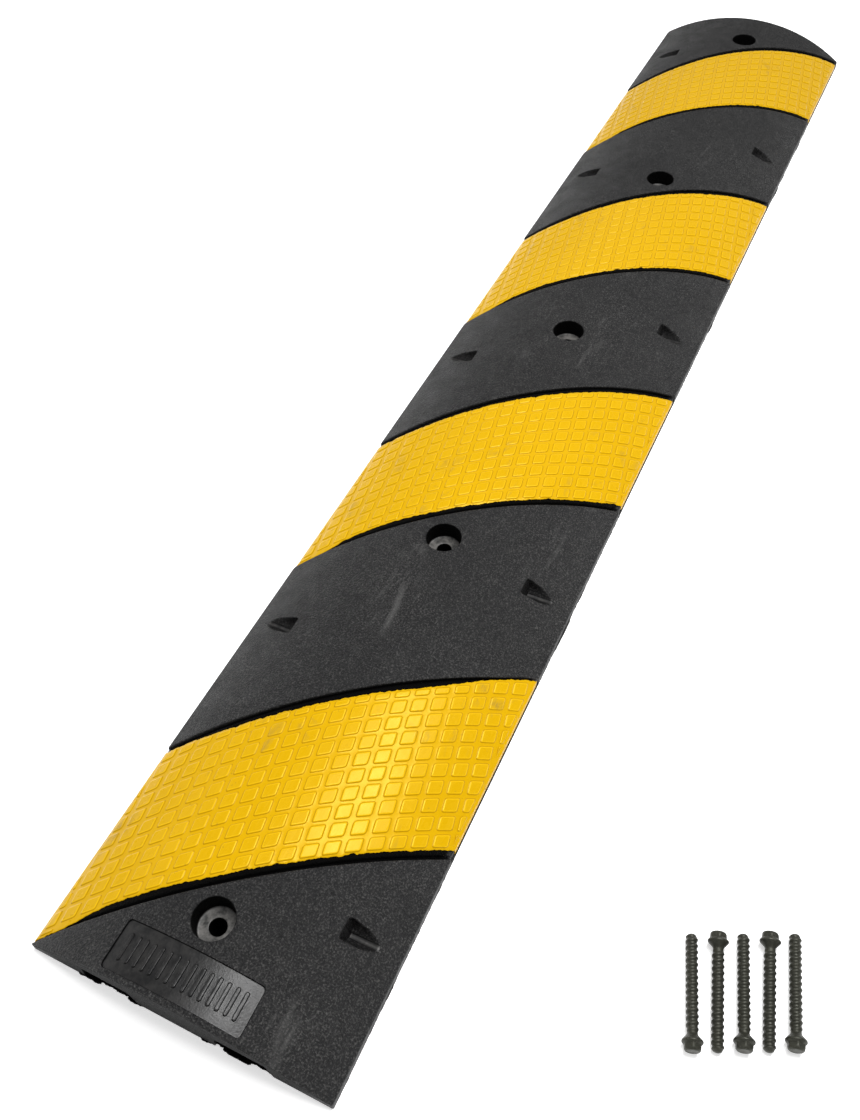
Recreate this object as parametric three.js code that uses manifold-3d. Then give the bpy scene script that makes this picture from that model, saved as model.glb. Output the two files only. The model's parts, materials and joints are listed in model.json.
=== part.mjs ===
// A rubber speed bump, six feet long, with four yellow skins let into a black body,
// and the five concrete screws that hold it down, lying beside it on the road.
// Millimetres. X runs along the bump, Y across it and Z up from the road.

import * as THREE from "three";
import { mergeVertices } from "three/addons/utils/BufferGeometryUtils.js";
import Module from "manifold-3d";

// Bump: a circular crown on two low upright edges.
const LENGTH = 1828.8;
const WIDTH = 304.8;
const HEIGHT = 57.15;
const EDGE_HEIGHT = 10;
const CROWN_STEPS = 18;

// Two cable channels below, open at both ends, with sloping side walls.
const CHANNEL_OFFSET = 67.5;
const CHANNEL_BASE_WIDTH = 57;
const CHANNEL_TOP_WIDTH = 50;
const CHANNEL_HEIGHT = 26;

// Yellow skins: bands across the crown, cut at a slant, that wrap down the edges. Each lies
// between two black borders, and a groove parts each border from the panel beyond it.
const STRIPE_COUNT = 4;
const STRIPE_PITCH = 462;
const STRIPE_LENGTH = 193;
const STRIPE_SHIFT = 225; // how far a band moves along X from the +Y edge to the -Y edge
const BORDER_WIDTH = 9.3; // along X, groove included
const SKIN_THICKNESS = 3;
const SKIN_FOOT = 2; // the skins stop this far above the road
const SKIN_GAP = 0.3;
const GROOVE_WIDTH = 2.5;
const GROOVE_DEPTH = 2;

// Anchor holes on the centre line.
const ANCHOR_XS = [-835.4, -376.1, 0, 376.1, 835.4];
const COUNTERBORE_RADIUS = 19.2;
const COUNTERBORE_DEPTH = 21;
const ANCHOR_HOLE_RADIUS = 7.75;

// Reflector pockets: level troughs with a round bottom that run out through the crown.
const POCKET_RADIUS = 10.75;
const POCKET_BACK = 99; // from the centre line to the back wall
const POCKET_FLOOR = 22.6; // above the road
const MIDDLE_POCKET_XS = [-387.5, 72.5, 534.5]; // on the -Y side, the +Y side is their mirror
const END_POCKET_X = 789.8;

// Shallow recess for a plate, at the -X end.
const PLATE_X = -885.5;
const PLATE_SIZE_X = 44;
const PLATE_SIZE_Y = 137;
const PLATE_CORNER_RADIUS = 4;
const PLATE_DEPTH = 1.5;

// Hex washer head concrete screw, measured from its tip.
const SCREW_LENGTH = 98.5;
const THREAD_RADIUS = 5.4;
const CORE_RADIUS = 4.1;
const THREAD_START = 3.5;
const THREAD_END = 79;
const CONE_START = SCREW_LENGTH - 15.9;
const FLANGE_RIM = SCREW_LENGTH - 9.6;
const FLANGE_RADIUS = 9.25;
const FLANGE_RIM_WIDTH = 1.2;
const HEX_START = SCREW_LENGTH - 6.2;
const HEX_ACROSS_FLATS = 14.3;
const SCREW_SIDES = 24;

// Where the screws lie: a row beside the bump, heads at alternate ends.
const SCREW_COUNT = 5;
const SCREW_ROW_X = -686.4; // middle of the row, along the bump
const SCREW_ROW_Y = -424.1; // middle of the row, from the bump's centre line
const SCREW_STEP_X = 9.2;
const SCREW_STEP_Y = -19.63;
const SCREW_HEADING = THREE.MathUtils.degToRad(15.24); // of the row's middle screw
const SCREW_FAN = THREE.MathUtils.degToRad(-0.83); // from each screw to the next

const X = new THREE.Vector3(1, 0, 0);
const Y = new THREE.Vector3(0, 1, 0);
const Z = new THREE.Vector3(0, 0, 1);
const OUTSIDE = 5; // how far a cutter stands out of what it cuts

const wasm = await Module();
wasm.setup();

// ---- solids ----

function solidFrom(geometry) {
  const bare = geometry.clone();
  bare.deleteAttribute("normal");
  bare.deleteAttribute("uv");
  const merged = mergeVertices(bare, 1e-4);
  return new wasm.Manifold(
    new wasm.Mesh({
      numProp: 3,
      vertProperties: merged.attributes.position.array,
      triVerts: new Uint32Array(merged.index.array),
    }),
  );
}

function geometryFrom(solid) {
  const mesh = solid.getMesh();
  const geometry = new THREE.BufferGeometry();
  geometry.setAttribute("position", new THREE.BufferAttribute(mesh.vertProperties, 3));
  geometry.setIndex(new THREE.BufferAttribute(mesh.triVerts, 1));
  geometry.computeVertexNormals();
  return geometry;
}

function namedMesh(name, solid, material) {
  const mesh = new THREE.Mesh(geometryFrom(solid), material);
  mesh.name = name;
  return mesh;
}

// A section drawn across the bump, swept along its whole length.
function sweptAlongBump(section) {
  const geometry = new THREE.ExtrudeGeometry(section, {
    depth: LENGTH,
    bevelEnabled: false,
    curveSegments: CROWN_STEPS,
  });
  geometry.applyMatrix4(new THREE.Matrix4().makeBasis(Y, Z, X));
  geometry.translate(-LENGTH / 2, 0, 0);
  return solidFrom(geometry);
}

// A plan outline, raised from below the road to above the crown.
function raisedFromPlan(plan) {
  const geometry = new THREE.ExtrudeGeometry(plan, {
    depth: HEIGHT + 2 * OUTSIDE,
    bevelEnabled: false,
    curveSegments: 6,
  });
  geometry.translate(0, 0, -OUTSIDE);
  return solidFrom(geometry);
}

function uprightCylinder(radius, bottom, top, x, sides) {
  const geometry = new THREE.CylinderGeometry(radius, radius, top - bottom, sides);
  geometry.rotateX(Math.PI / 2);
  geometry.translate(x, 0, (top + bottom) / 2);
  return solidFrom(geometry);
}

// ---- the crown ----

// The crown's arc through both edges and the top, and the arcs inside and outside it.
const rise = HEIGHT - EDGE_HEIGHT;
const crownRadius = ((WIDTH / 2) ** 2 + rise ** 2) / (2 * rise);
const crownCentre = HEIGHT - crownRadius;

function drawCrown(path, inset, clockwise) {
  const radius = crownRadius - inset;
  const half = Math.asin((WIDTH / 2 - inset) / radius);
  const left = Math.PI / 2 + half;
  const right = Math.PI / 2 - half;
  path.absarc(0, crownCentre, radius, clockwise ? left : right, clockwise ? right : left, clockwise);
}

// A layer that follows the crown and its edges, between two insets from the surface.
function layerSection(outerInset, innerInset, bottom) {
  const section = new THREE.Shape();
  section.moveTo(WIDTH / 2 - innerInset, bottom);
  section.lineTo(WIDTH / 2 - outerInset, bottom);
  drawCrown(section, outerInset, false);
  section.lineTo(-WIDTH / 2 + outerInset, bottom);
  section.lineTo(-WIDTH / 2 + innerInset, bottom);
  drawCrown(section, innerInset, true);
  section.closePath();
  return section;
}

function bodySection() {
  const section = new THREE.Shape();
  section.moveTo(-WIDTH / 2, 0);
  for (const centre of [-CHANNEL_OFFSET, CHANNEL_OFFSET]) {
    section.lineTo(centre - CHANNEL_BASE_WIDTH / 2, 0);
    section.lineTo(centre - CHANNEL_TOP_WIDTH / 2, CHANNEL_HEIGHT);
    section.lineTo(centre + CHANNEL_TOP_WIDTH / 2, CHANNEL_HEIGHT);
    section.lineTo(centre + CHANNEL_BASE_WIDTH / 2, 0);
  }
  section.lineTo(WIDTH / 2, 0);
  drawCrown(section, 0, false);
  section.closePath();
  return section;
}

// ---- yellow skins ----

const stripeCentres = Array.from(
  { length: STRIPE_COUNT },
  (_, index) => (index - (STRIPE_COUNT - 1) / 2) * STRIPE_PITCH,
);

// The slanted band of a stripe in plan, widened by a margin on both long sides.
function stripeBand(centre, margin) {
  const reach = WIDTH / 2 + 2 * OUTSIDE;
  const shift = (STRIPE_SHIFT / WIDTH) * reach;
  const half = STRIPE_LENGTH / 2 + margin;
  const plan = new THREE.Shape();
  plan.moveTo(centre + shift - half, -reach);
  plan.lineTo(centre + shift + half, -reach);
  plan.lineTo(centre - shift + half, reach);
  plan.lineTo(centre - shift - half, reach);
  plan.closePath();
  return raisedFromPlan(plan);
}

function stripeSkin(centre) {
  const layer = sweptAlongBump(layerSection(0, SKIN_THICKNESS, SKIN_FOOT));
  return layer.intersect(stripeBand(centre, 0));
}

// The skin's bed, and the shallow groove at the far side of each of its borders.
function stripeCutters(centre) {
  const foot = SKIN_FOOT - SKIN_GAP;
  const bed = sweptAlongBump(layerSection(-OUTSIDE, SKIN_THICKNESS + SKIN_GAP, foot));
  const groove = sweptAlongBump(layerSection(-OUTSIDE, GROOVE_DEPTH, foot));
  const grooves = stripeBand(centre, BORDER_WIDTH).subtract(
    stripeBand(centre, BORDER_WIDTH - GROOVE_WIDTH),
  );
  return [bed.intersect(stripeBand(centre, SKIN_GAP)), groove.intersect(grooves)];
}

// ---- holes and hollows in the body ----

function anchorCutters(x) {
  const floor = HEIGHT - COUNTERBORE_DEPTH;
  return [
    uprightCylinder(COUNTERBORE_RADIUS, floor, HEIGHT + OUTSIDE, x, 48),
    uprightCylinder(ANCHOR_HOLE_RADIUS, -OUTSIDE, HEIGHT + OUTSIDE, x, 32),
  ];
}

// side is +1 where the trough runs out towards +Y and -1 where it runs out towards -Y.
function pocketCutter(x, side) {
  const axisHeight = POCKET_FLOOR + POCKET_RADIUS;
  const section = new THREE.Shape();
  section.moveTo(-POCKET_RADIUS, HEIGHT);
  section.lineTo(-POCKET_RADIUS, axisHeight);
  section.absarc(0, axisHeight, POCKET_RADIUS, Math.PI, 2 * Math.PI, false);
  section.lineTo(POCKET_RADIUS, HEIGHT);
  section.closePath();
  const geometry = new THREE.ExtrudeGeometry(section, {
    depth: WIDTH / 2 + OUTSIDE - POCKET_BACK,
    bevelEnabled: false,
    curveSegments: 8,
  });
  const across = X.clone().multiplyScalar(-side);
  const outwards = Y.clone().multiplyScalar(side);
  geometry.applyMatrix4(new THREE.Matrix4().makeBasis(across, Z, outwards));
  geometry.translate(x, side * POCKET_BACK, 0);
  return solidFrom(geometry);
}

function pocketCutters() {
  const middle = MIDDLE_POCKET_XS.flatMap((x) => [pocketCutter(x, -1), pocketCutter(-x, 1)]);
  return [...middle, pocketCutter(-END_POCKET_X, -1), pocketCutter(END_POCKET_X, 1)];
}

function plateCutter() {
  const halfX = PLATE_SIZE_X / 2;
  const halfY = PLATE_SIZE_Y / 2;
  const inX = halfX - PLATE_CORNER_RADIUS;
  const inY = halfY - PLATE_CORNER_RADIUS;
  const plan = new THREE.Shape();
  plan.absarc(PLATE_X + inX, inY, PLATE_CORNER_RADIUS, 0, Math.PI / 2, false);
  plan.absarc(PLATE_X - inX, inY, PLATE_CORNER_RADIUS, Math.PI / 2, Math.PI, false);
  plan.absarc(PLATE_X - inX, -inY, PLATE_CORNER_RADIUS, Math.PI, 1.5 * Math.PI, false);
  plan.absarc(PLATE_X + inX, -inY, PLATE_CORNER_RADIUS, 1.5 * Math.PI, 2 * Math.PI, false);
  plan.closePath();
  const layer = sweptAlongBump(layerSection(-OUTSIDE, PLATE_DEPTH, EDGE_HEIGHT));
  return layer.intersect(raisedFromPlan(plan));
}

function rubberBody() {
  const cutters = [
    ...stripeCentres.flatMap(stripeCutters),
    ...ANCHOR_XS.flatMap(anchorCutters),
    ...pocketCutters(),
    plateCutter(),
  ];
  return cutters.reduce((body, cutter) => body.subtract(cutter), sweptAlongBump(bodySection()));
}

// ---- anchor screws ----

// The screw lies along X with its tip at the origin and its head towards +X.
function screwSolid() {
  const profile = [
    [0, 0],
    [CORE_RADIUS * 0.6, 0.6],
    [CORE_RADIUS, 2.2],
    [THREAD_RADIUS, THREAD_START],
    [THREAD_RADIUS, THREAD_END],
    [CORE_RADIUS, THREAD_END],
    [CORE_RADIUS, CONE_START],
    [FLANGE_RADIUS, FLANGE_RIM - FLANGE_RIM_WIDTH / 2],
    [FLANGE_RADIUS, FLANGE_RIM + FLANGE_RIM_WIDTH / 2],
    [HEX_ACROSS_FLATS / 2, HEX_START],
    [0, HEX_START],
  ].map(([radius, along]) => new THREE.Vector2(radius, along));
  const shank = new THREE.LatheGeometry(profile, SCREW_SIDES);
  const hexRadius = HEX_ACROSS_FLATS / 2 / Math.cos(Math.PI / 6);
  const hexBottom = HEX_START - 1;
  const hex = new THREE.CylinderGeometry(hexRadius, hexRadius, SCREW_LENGTH - hexBottom, 6);
  hex.translate(0, (SCREW_LENGTH + hexBottom) / 2, 0);
  const turn = new THREE.Matrix4().makeBasis(Y, X, Z.clone().negate());
  return solidFrom(shank.applyMatrix4(turn)).add(solidFrom(hex.applyMatrix4(turn)));
}

// A screw rests on its flange and on the thread near its tip, so its axis leans a little.
function layDown(mesh, index) {
  const place = index - (SCREW_COUNT - 1) / 2;
  const lean = Math.atan2(FLANGE_RADIUS - THREAD_RADIUS, FLANGE_RIM - THREAD_START);
  const headOutwards = index % 2 === 0;
  mesh.geometry.translate(-SCREW_LENGTH / 2, 0, 0);
  mesh.geometry.rotateY(-lean);
  mesh.geometry.rotateZ(SCREW_HEADING + place * SCREW_FAN + (headOutwards ? Math.PI : 0));
  mesh.geometry.computeBoundingBox();
  mesh.position.set(
    SCREW_ROW_X + place * SCREW_STEP_X,
    SCREW_ROW_Y + place * SCREW_STEP_Y,
    -mesh.geometry.boundingBox.min.z,
  );
}

// ---- materials ----

const blackRubber = () => new THREE.MeshStandardMaterial({ color: 0x2c2c2d, roughness: 0.6, metalness: 0 });
const yellowRubber = () => new THREE.MeshStandardMaterial({ color: 0xf0bc10, roughness: 0.45, metalness: 0 });
const coatedSteel = () => new THREE.MeshStandardMaterial({ color: 0x5c5c52, roughness: 0.5, metalness: 0.7 });

// ---- the set ----

const set = new THREE.Group();
set.add(namedMesh("rubber_body", rubberBody(), blackRubber()));

stripeCentres.forEach((centre, index) => {
  set.add(namedMesh(`yellow_stripe_${index + 1}`, stripeSkin(centre), yellowRubber()));
});

for (let index = 0; index < SCREW_COUNT; index += 1) {
  const screw = namedMesh(`anchor_screw_${index + 1}`, screwSolid(), coatedSteel());
  layDown(screw, index);
  set.add(screw);
}

// The origin is the middle of the set's footprint on the road.
set.updateMatrixWorld(true);
const footprint = new THREE.Box3().setFromObject(set).getCenter(new THREE.Vector3());
set.position.set(-footprint.x, -footprint.y, 0);

export default set;
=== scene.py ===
import json
import math

import bmesh
import bpy
import numpy as np
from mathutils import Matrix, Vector
from mathutils.geometry import delaunay_2d_cdt
from mathutils.noise import noise


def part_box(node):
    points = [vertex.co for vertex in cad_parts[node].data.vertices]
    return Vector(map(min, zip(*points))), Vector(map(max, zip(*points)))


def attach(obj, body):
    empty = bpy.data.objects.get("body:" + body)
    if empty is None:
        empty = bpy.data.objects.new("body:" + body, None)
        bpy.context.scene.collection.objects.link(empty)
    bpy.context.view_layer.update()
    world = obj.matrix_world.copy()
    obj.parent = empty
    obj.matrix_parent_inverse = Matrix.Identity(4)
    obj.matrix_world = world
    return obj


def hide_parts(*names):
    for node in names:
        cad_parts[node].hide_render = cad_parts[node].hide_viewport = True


# A rubber speed bump with four studded yellow skins, and the five concrete screws that
# hold it down, lying beside it. Shapes are worked out in millimetres, with Y measured
# from the bump's centre line, and placed in the CAD frame in metres.

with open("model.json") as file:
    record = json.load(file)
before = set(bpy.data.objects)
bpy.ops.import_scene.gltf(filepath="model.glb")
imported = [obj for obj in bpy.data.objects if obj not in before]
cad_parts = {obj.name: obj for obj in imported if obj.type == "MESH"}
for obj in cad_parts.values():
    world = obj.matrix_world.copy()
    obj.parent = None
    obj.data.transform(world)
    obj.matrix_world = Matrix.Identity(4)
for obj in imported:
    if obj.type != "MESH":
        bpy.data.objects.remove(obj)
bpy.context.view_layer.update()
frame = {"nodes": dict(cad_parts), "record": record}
MM = 0.001

# ---- sizes from the frame ----

BODY_LO, BODY_HI = (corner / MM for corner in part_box("rubber_body"))
AXIS_Y = (BODY_LO.y + BODY_HI.y) / 2
HALF_LENGTH = BODY_HI.x
HALF_WIDTH = (BODY_HI.y - BODY_LO.y) / 2
HEIGHT = BODY_HI.z
SKIN_BOXES = [[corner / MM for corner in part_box(f"yellow_stripe_{k}")] for k in (1, 2, 3, 4)]


def openings(prefix):
    """Middles (x, y) of the record's openings whose names start so, y from the centre line."""
    found = []
    for opening in frame["record"]["physics"]["openings"]:
        if opening["name"].startswith(prefix):
            lo, hi = opening["box_m"]
            found.append(((lo[0] + hi[0]) / 2 / MM, (lo[1] + hi[1]) / 2 / MM - AXIS_Y))
    return found


ANCHOR_XS = [x for x, _ in openings("counterbore_")]
POCKETS = [(x, math.copysign(1, y)) for x, y in openings("reflector_pocket_")]

# ---- driving sizes, in millimetres ----

EDGE_HEIGHT = 10
CORNER_RADIUS = 2.2  # where the crown turns down into an upright edge
END_RADIUS = 1.8  # where the crown turns down into an end
END_INSET = 1.2  # the -X end stands this far inside the flash that hangs from it

CHANNEL_OFFSET = 67.5
CHANNEL_BASE = 28.5  # half widths
CHANNEL_TOP = 25
CHANNEL_HEIGHT = 26
CHANNEL_CORNER = 4
CHANNELS = (-CHANNEL_OFFSET, CHANNEL_OFFSET)
CHANNEL_FEET = sorted(offset + side * CHANNEL_BASE for offset in CHANNELS for side in (-1, 1))

# Black beside a skin, by distance outwards along X from the skin's CAD edge, and depth under
# the crown: rounded border, groove, and the crisp edge of the panel.
BORDER = [
    (0, 1.6), (3.0, 1.55), (4.2, 1.8), (5.0, 2.5), (5.6, 3.8), (6.1, 4.4), (8.4, 4.5),
    (8.9, 3.6), (9.2, 0.75), (9.6, 0.3), (10.3, 0.08), (11.5, 0), (14, 0),
]
# The same, by distance from where the yellow really stops: the ledge that it lies on.
LEDGE = [(0.9, 1.9), (1.4, 1.75), (1.9, 1.45), (2.6, 0)]
STRIPE_SHIFT = 225  # how far a skin moves along X from one edge of the bump to the other

SKIN_TOP = 0.95
SKIN_INNER = 1.75
SKIN_LIP = 1.4
SKIN_LIP_WIDTH = 1.1
SKIN_FOOT = 2
STUD_ROW = Vector((11.7, -15.87))
STUD_COLUMN = Vector((17.65, 3.25))
STUD_START = Vector((21.4, -11.2))  # a stud's middle, from its stripe's middle
STUD_ROW_SHARE = 0.785
STUD_COLUMN_SHARE = 0.84
STUD_STEPS = 24  # rows and columns tried each way, which is more than a stripe holds
STUD_CORNER = 2.9
SMALLEST_STUD = 13  # square millimetres
STUD_RINGS = [(0, SKIN_TOP), (0.35, 0.58), (1, 0.22), (1.6, 0.05), (2.1, 0)]  # (inset, depth)
STUD_EDGE = 149.3  # studs stop this far from the centre line
STUD_MARGIN = 1.9  # and this far inside a skin's ragged edge
# How far the yellow creeps out over the border at the -Y end of each skin's +X side.
FLASH_REACH = [9, 1.5, 1.5, 3]

COUNTERBORE_RIM = [(23, 0), (20.9, 0), (20.1, 0.14), (19.5, 0.5), (19.2, 1.2)]  # (radius, depth)
COUNTERBORE_FLOOR = 36.15
ANCHOR_HOLE_RADIUS = 7.75

POCKET_RADIUS = 10.75
POCKET_FLOOR = 22.6
POCKET_BACK = 99
POCKET_CORNER = 3.2
POCKET_DRAFT = 4.5  # how far the back wall leans out towards the floor

PLATE_X = -885.5
PLATE_HALF = Vector((22, 68.5))
PLATE_CORNER = 4
PLATE_DEPTH = 1.5
RIB_HEIGHT = 1.1
RIB_COUNT = 15  # plain upright ribs across the plate
RIB_PITCH = 8.2
RIB_HALF_LENGTH = 10.5
RIB_HALF_WIDTH = 1.9

FLASH_HEIGHT = 1.3
FLASH_WIDEST = 1.4

# The body's plain faces are drawn on a grid, which keeps clear of finer shapes.
GRID_X = 7.1
GRID_Q = 6.2
BORDER_SPAN = (-6, 16)  # outwards from a skin's edge
COUNTERBORE_CLEAR = 24
POCKET_CLEAR = 16
POCKET_SPAN = (93, 141)  # from the centre line
PLATE_CLEAR = 3
PLATE_FOLDS = (-0.9, -0.4, -0.15, 0.05, 0.35, 1, 2.2)  # lines this far outside the plate
RIB_FOLDS = (-0.75, -0.3, 0.15)

RISE = HEIGHT - EDGE_HEIGHT
CROWN_RADIUS = (HALF_WIDTH**2 + RISE**2) / (2 * RISE)
CROWN_Z = HEIGHT - CROWN_RADIUS
CORNER_Y = HALF_WIDTH - CORNER_RADIUS
CORNER_Z = CROWN_Z + math.sqrt((CROWN_RADIUS - CORNER_RADIUS) ** 2 - CORNER_Y**2)
CORNER_ANGLE = math.asin(CORNER_Y / (CROWN_RADIUS - CORNER_RADIUS))
CROWN_Q = CROWN_RADIUS * CORNER_ANGLE
WALL_Q = CROWN_Q + CORNER_RADIUS * (math.pi / 2 - CORNER_ANGLE)
CORNER_Q = (CROWN_Q + WALL_Q) / 2
FOOT_Q = WALL_Q + CORNER_Z

NEAR_X = -HALF_LENGTH + END_INSET
FAR_X = HALF_LENGTH
END_ARC = END_RADIUS * math.pi / 2
LONG_STATIONS = np.linspace(NEAR_X, FAR_X, 41)

# ---- the crown ----
# A place on the outside is (x, q): q is the distance round the section from its top, over
# the crown, round the corner and down the upright edge. Past the ends x turns the corner too.


def crown_q(y):
    """The q of a place on the crown at y, for y short of the corners."""
    return CROWN_RADIUS * math.asin(y / CROWN_RADIUS)


def wall_q(z):
    """The q of a place on the upright edge at height z."""
    return FOOT_Q - z


def section(q):
    """y, z and outward normal of places q round the section."""
    a = np.abs(q)
    turn = np.where(a < CROWN_Q, a / CROWN_RADIUS, CORNER_ANGLE + (a - CROWN_Q) / CORNER_RADIUS)
    turn = np.minimum(turn, math.pi / 2)
    on_crown = a < CROWN_Q
    radius = np.where(on_crown, CROWN_RADIUS, CORNER_RADIUS)
    y = np.where(on_crown, 0, CORNER_Y) + radius * np.sin(turn)
    z = np.where(on_crown, CROWN_Z, CORNER_Z) + radius * np.cos(turn) - np.maximum(a - WALL_Q, 0)
    side = np.where(q < 0, -1, 1)
    return side * y, z, side * np.sin(turn), np.cos(turn)


def wrapped(points, depth):
    """Places (n x 3) of points (x, q), lowered by depth, with the corner at each end turned."""
    x, q = np.asarray(points, float).T
    past = np.maximum(x - (FAR_X - END_RADIUS), 0) - np.maximum(NEAR_X + END_RADIUS - x, 0)
    turn = np.minimum(np.abs(past) / END_RADIUS, math.pi / 2)
    x = x - past + np.sign(past) * END_RADIUS * np.sin(turn)
    y, z, ny, nz = section(q)
    sink = depth + END_RADIUS * (1 - np.cos(turn))
    sink = np.where(np.abs(q) > CROWN_Q - 6, np.minimum(sink, CORNER_RADIUS - 0.1), sink)
    return np.stack([x, y - ny * sink, np.maximum(z - nz * sink, 0)], 1)


# ---- stripes ----


class Stripe:
    """A slanted skin: where its long edges run, and how its ragged flash wanders off them."""

    def __init__(self, index):
        lo, hi = SKIN_BOXES[index]
        self.index = index
        self.x = (lo.x + hi.x) / 2
        self.half = (hi.x - lo.x - STRIPE_SHIFT) / 2
        self.slope = -STRIPE_SHIFT / (2 * HALF_WIDTH)

    def edge(self, side, y):
        """x of the skin's straight CAD edge, side -1 or +1."""
        return self.x + self.slope * y + side * self.half

    def drift(self, side, y):
        """How far outwards from its straight edge the yellow really stops, on average."""
        wander = wavy(y / 23, 7 + self.index * 5 + side) * 0.7
        if side < 0:
            hollow = -2.6 * np.exp(-(((y - 65) / 34) ** 2))
            return -0.6 + hollow + 8.2 * smoothstep(95, 135, y) + wander
        creep = FLASH_REACH[self.index] * smoothstep(-55, -145, y)
        return -0.6 + 4 * smoothstep(95, 150, y) + creep + wander

    def ragged(self, side, y):
        """The torn edge: drift, small teeth and a nick here and there."""
        seed = 31 + self.index * 11 + side * 3
        teeth = 1.0 * wavy(y / 3.3, seed) + 0.75 * wavy(y / 1.3, seed + 1)
        nicks = -4 * np.maximum(wavy(y / 6, seed + 2) - 0.3, 0)
        return self.drift(side, y) + teeth + nicks


def smoothstep(start, end, value):
    """0 before start, 1 past end, and an even ease between them."""
    share = np.clip((value - start) / (end - start), 0, 1)
    return share * share * (3 - 2 * share)


def wavy(values, seed):
    """Smooth repeatable noise, about -0.6 to 0.6, along a line of values."""
    return np.array([noise(Vector((v, seed * 3.7, 0.5))) for v in np.atleast_1d(values)])


STRIPES = [Stripe(index) for index in range(4)]
EDGES = [(stripe, side) for stripe in STRIPES for side in (-1, 1)]


def border_depth(x, y, drifts):
    """How far the black lies under the crown near the skins."""
    depth = np.zeros_like(x)
    for (stripe, side), table in zip(EDGES, drifts):
        outwards = side * (x - stripe.edge(side, y))
        drift = np.interp(y, *table)
        border = np.interp(outwards, *zip(*BORDER))
        ledge = np.interp(outwards - drift, *zip(*LEDGE))
        inside = side * (x - (stripe.x + stripe.slope * y)) > 0
        depth = np.where(inside, np.maximum(depth, np.maximum(border, ledge)), depth)
    return depth


# ---- flat triangulation ----


class Sheet:
    """Points, lines and outlines in a plane, triangulated together."""

    def __init__(self):
        self.points = []
        self.lines = []
        self.outlines = []

    def add(self, points, closed=False, outline=False):
        """Adds a line through the points, or a closed one, or an outline that bounds faces."""
        start = len(self.points)
        self.points.extend((float(a), float(b)) for a, b in points)
        count = len(points)
        if outline:
            self.outlines.append(list(range(start, start + count)))
        elif count > 1:
            last = count if closed else count - 1
            self.lines.extend((start + i, start + (i + 1) % count) for i in range(last))

    def scatter(self, points):
        self.points.extend((float(a), float(b)) for a, b in points)

    def triangulate(self):
        """(points, faces): what lies in the first outline and in none of the others."""
        flat = [Vector(p) for p in self.points]
        out = delaunay_2d_cdt(flat, self.lines, self.outlines, 0, 1e-3)
        points = np.array([(p[0], p[1]) for p in out[0]])
        for place, originals in enumerate(out[3]):
            if originals:
                points[place] = self.points[originals[0]]
        faces = [face for face, origin in zip(out[2], out[5]) if list(origin) == [0]]
        return points, faces


class Shell:
    """Patches of mesh, in millimetres, that are welded into one closed piece."""

    def __init__(self):
        self.verts = []
        self.faces = []
        self.count = 0

    def patch(self, places, faces, flip=False):
        self.verts.append(np.asarray(places, float))
        for face in faces:
            shifted = [self.count + i for i in face]
            self.faces.append(shifted[::-1] if flip else shifted)
        self.count += len(places)

    def loft(self, rings, closed=True):
        """Quads between rings with the same number of places."""
        size = len(rings[0])
        faces = []
        for level in range(len(rings) - 1):
            for i in range(size if closed else size - 1):
                j = (i + 1) % size
                base = level * size
                faces.append([base + i, base + j, base + size + j, base + size + i])
        self.patch(np.concatenate(rings), faces)

    def build(self, name, material, sharp=35):
        """The object, in metres, welded, and creased where it turns by more than sharp degrees."""
        places = np.concatenate(self.verts)
        places = (places + (0, AXIS_Y, 0)) * MM
        mesh = bpy.data.meshes.new(name)
        mesh.from_pydata(places.tolist(), [], self.faces)
        tidy = bmesh.new()
        tidy.from_mesh(mesh)
        bmesh.ops.remove_doubles(tidy, verts=tidy.verts, dist=1.5e-5)
        loose = [v for v in tidy.verts if not v.link_faces]
        bmesh.ops.delete(tidy, geom=loose, context="VERTS")
        bmesh.ops.recalc_face_normals(tidy, faces=tidy.faces)
        tidy.to_mesh(mesh)
        tidy.free()
        mesh.shade_smooth()
        mesh.set_sharp_from_angle(angle=math.radians(sharp))
        piece = bpy.data.objects.new(name, mesh)
        bpy.context.scene.collection.objects.link(piece)
        mesh.materials.append(material)
        # Broad faces stay even, and only the small ones beside them look rounded.
        piece.modifiers.new("even_shading", "WEIGHTED_NORMAL").keep_sharp = True
        return piece


def circle(radius, count, phase=0):
    """Places round a circle about the origin, counterclockwise."""
    angles = phase + np.arange(count) * 2 * math.pi / count
    return np.stack([radius * np.cos(angles), radius * np.sin(angles)], 1)


# ---- the body's outside ----

RING_POINTS = 64


def smooth_min(a, b, reach):
    """The lesser of a and b, eased where they come within reach of each other."""
    blend = np.clip(0.5 + (b - a) / (2 * reach), 0, 1)
    return b + (a - b) * blend - reach * blend * (1 - blend)


def pocket_height(x, y):
    """Height of a trough's inside, for x from its middle and y outwards from the centre line."""
    half = POCKET_RADIUS - 0.35
    # The back corners are round, the sides splay above the round bottom, and the tip is narrow.
    short = np.clip(POCKET_CORNER - (y - POCKET_BACK), 0, POCKET_CORNER)
    push = POCKET_CORNER - np.sqrt(POCKET_CORNER**2 - short**2)
    narrow = np.interp(y, [POCKET_BACK + 6, POCKET_BACK + 36], [1, 0.76])
    x = (np.abs(x) + push) / narrow
    across = np.minimum(x, half - 0.6)
    trough = POCKET_FLOOR + half - np.sqrt(half**2 - across**2)
    trough = trough + np.maximum(x - half + 0.6, 0) * 9
    back_top = CROWN_Z + math.sqrt(CROWN_RADIUS**2 - POCKET_BACK**2)
    lean = (back_top - POCKET_FLOOR) / POCKET_DRAFT
    back = back_top - (y - POCKET_BACK) * lean
    return -smooth_min(-trough, -back, 1.6)


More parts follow.
